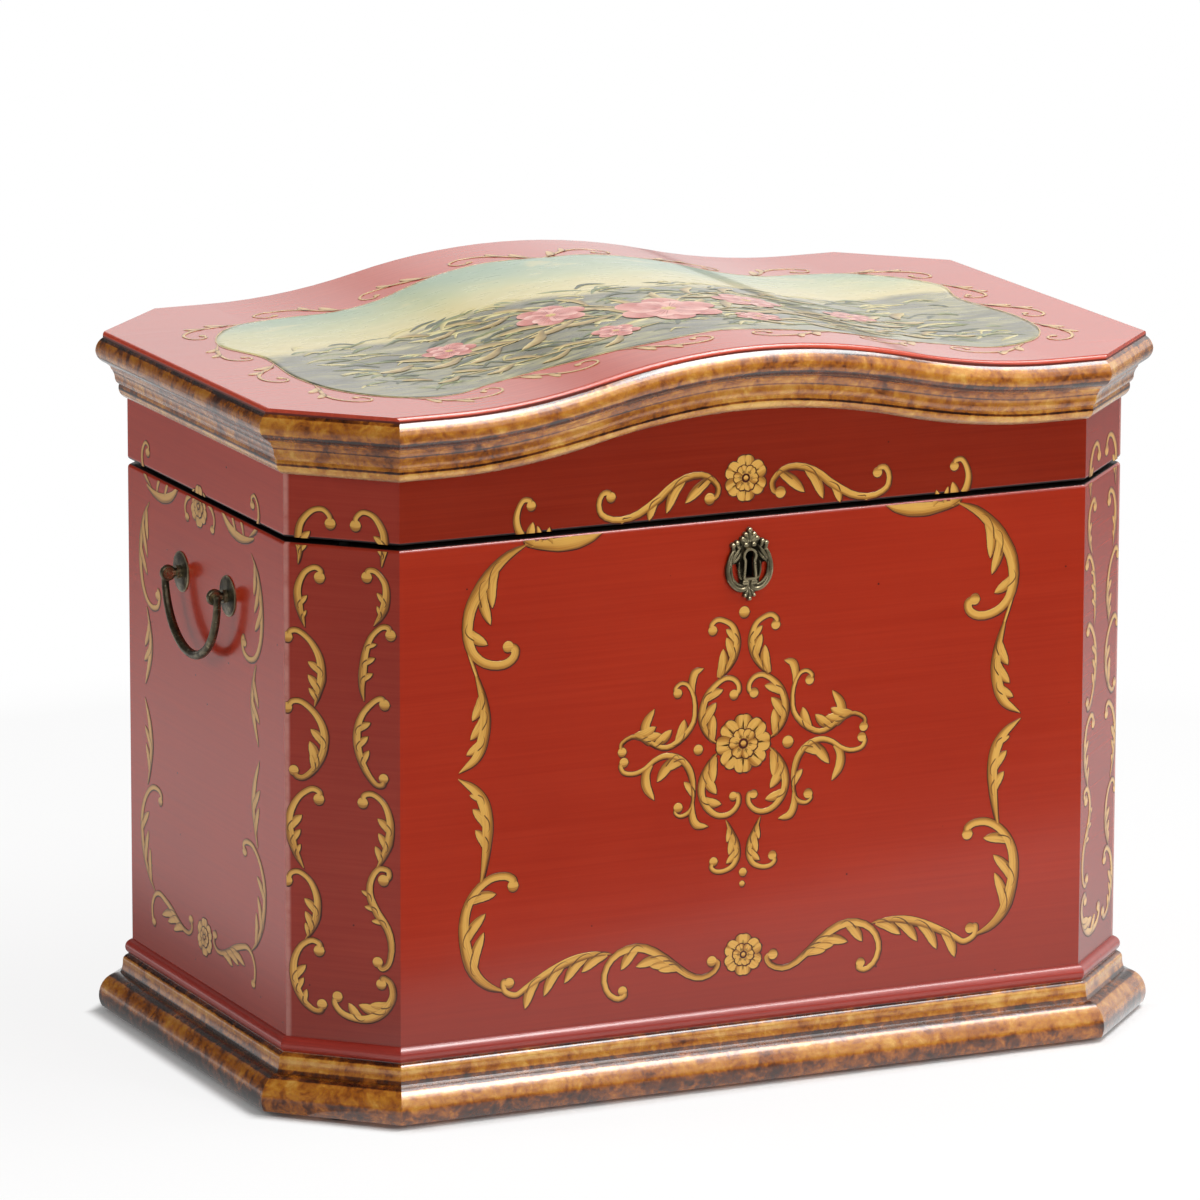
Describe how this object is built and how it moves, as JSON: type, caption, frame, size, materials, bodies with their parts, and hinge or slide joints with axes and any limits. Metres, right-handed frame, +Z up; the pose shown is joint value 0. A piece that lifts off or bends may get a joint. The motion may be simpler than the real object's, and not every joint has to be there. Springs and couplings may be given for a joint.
{
  "type": "document chest",
  "caption": "Octagonal lacquered wooden chest with canted corners, a serpentine-topped hinged lid, gilt mouldings, painted scrollwork, a box lock and swinging bail handles.",
  "frame": {"origin": "on the floor below the middle of the chest, at the bottom centre of its box", "axes": "+Z up, the front with the keyhole faces -Y, the long side runs along X"},
  "size_m": [0.5994, 0.3894, 0.4555],
  "materials": {
    "red_lacquer": "gloss red lacquer over wood",
    "gilt_moulding": "gold paint with tortoiseshell glaze, gloss",
    "bare_board": "dark stained board",
    "black_felt": "felt",
    "antique_brass": "antiqued cast brass",
    "hardware_brass": "plain brass",
    "lock_steel": "brushed steel"
  },
  "bodies": {
    "case": {"front_wall": "red_lacquer", "front_right_wall": "red_lacquer", "right_wall": "red_lacquer", "back_right_wall": "red_lacquer", "back_wall": "red_lacquer", "back_left_wall": "red_lacquer", "left_wall": "red_lacquer", "front_left_wall": "red_lacquer", "bottom_board": "bare_board", "front_plinth": "gilt_moulding", "front_right_plinth": "gilt_moulding", "right_plinth": "gilt_moulding", "back_right_plinth": "gilt_moulding", "back_plinth": "gilt_moulding", "back_left_plinth": "gilt_moulding", "left_plinth": "gilt_moulding", "front_left_plinth": "gilt_moulding", "foot_pads": "black_felt", "rim_bumpers": "black_felt", "left_posts": "antique_brass", "right_posts": "antique_brass", "left_rosettes": "antique_brass", "right_rosettes": "antique_brass", "handle_nuts": "antique_brass", "escutcheon": "antique_brass", "escutcheon_pins": "antique_brass", "left_hinge_lower_leaf": "hardware_brass", "right_hinge_lower_leaf": "hardware_brass", "hinge_pins": "hardware_brass", "hinge_lower_screws": "hardware_brass", "lock_case": "lock_steel", "lock_screws": "hardware_brass"},
    "lid": {"lid_front_rail": "red_lacquer", "lid_front_right_rail": "red_lacquer", "lid_right_rail": "red_lacquer", "lid_back_right_rail": "red_lacquer", "lid_back_rail": "red_lacquer", "lid_back_left_rail": "red_lacquer", "lid_left_rail": "red_lacquer", "lid_front_left_rail": "red_lacquer", "lid_top": "red_lacquer", "lid_front_moulding": "gilt_moulding", "lid_front_right_moulding": "gilt_moulding", "lid_right_moulding": "gilt_moulding", "lid_back_right_moulding": "gilt_moulding", "lid_back_moulding": "gilt_moulding", "lid_back_left_moulding": "gilt_moulding", "lid_left_moulding": "gilt_moulding", "lid_front_left_moulding": "gilt_moulding", "left_hinge_upper_leaf": "hardware_brass", "right_hinge_upper_leaf": "hardware_brass", "hinge_upper_screws": "hardware_brass", "lock_strike": "lock_steel", "strike_screws": "hardware_brass"},
    "left_bail": {"left_bail": "antique_brass"},
    "right_bail": {"right_bail": "antique_brass"},
    "lock_bolt": {"lock_bolt": "lock_steel"}
  },
  "joints": [
    {"name": "lid_hinge", "type": "hinge", "parent": "case", "child": "lid", "pos_m": [0, 0.1785, 0.3498], "axis": [-1, 0, 0], "range_deg": [0, 99]},
    {"name": "left_bail_swing", "type": "hinge", "parent": "case", "child": "left_bail", "pos_m": [-0.289, 0, 0.2978], "axis": [0, 1, 0], "range_deg": [-6, 180]},
    {"name": "right_bail_swing", "type": "hinge", "parent": "case", "child": "right_bail", "pos_m": [0.289, 0, 0.2978], "axis": [0, -1, 0], "range_deg": [-6, 180]},
    {"name": "bolt_slide", "type": "slide", "parent": "case", "child": "lock_bolt", "axis": [1, 0, 0], "range_m": [0, 0.006]}
  ]
}
